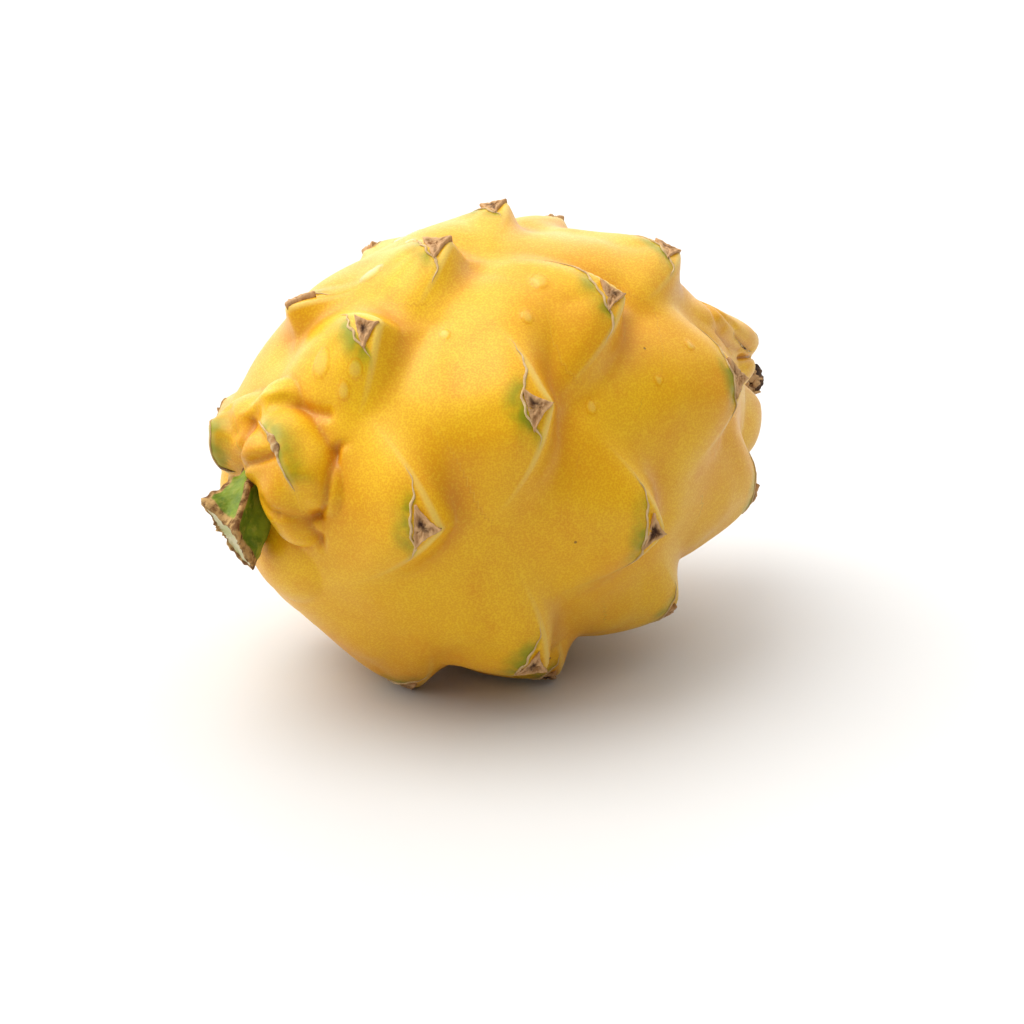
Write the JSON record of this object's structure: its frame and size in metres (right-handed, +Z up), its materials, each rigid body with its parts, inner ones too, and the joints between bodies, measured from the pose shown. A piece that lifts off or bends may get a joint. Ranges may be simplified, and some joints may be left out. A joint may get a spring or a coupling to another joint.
{
  "type": "dragon fruit",
  "caption": "Whole yellow dragon fruit lying on its side, with pointed tubercles, a ribbed stalk stub at one end and a dry flower stub at the other.",
  "frame": {"origin": "under the middle of the bounding box, on the surface that the fruit rests on", "axes": "+X runs from the stalk to the dry flower, +Z is up, and +Y is to the left when looking along +X"},
  "size_m": [0.1408, 0.0942, 0.0878],
  "materials": {
    "rind": "satin, waxy, with fine pores",
    "stalk": "matte, green with tan woody ribs",
    "dry_tissue": "matte, dry and wrinkled"
  },
  "bodies": {
    "root": {"rind": "rind", "stalk": "stalk", "dry_flower": "dry_tissue"}
  },
  "joints": []
}
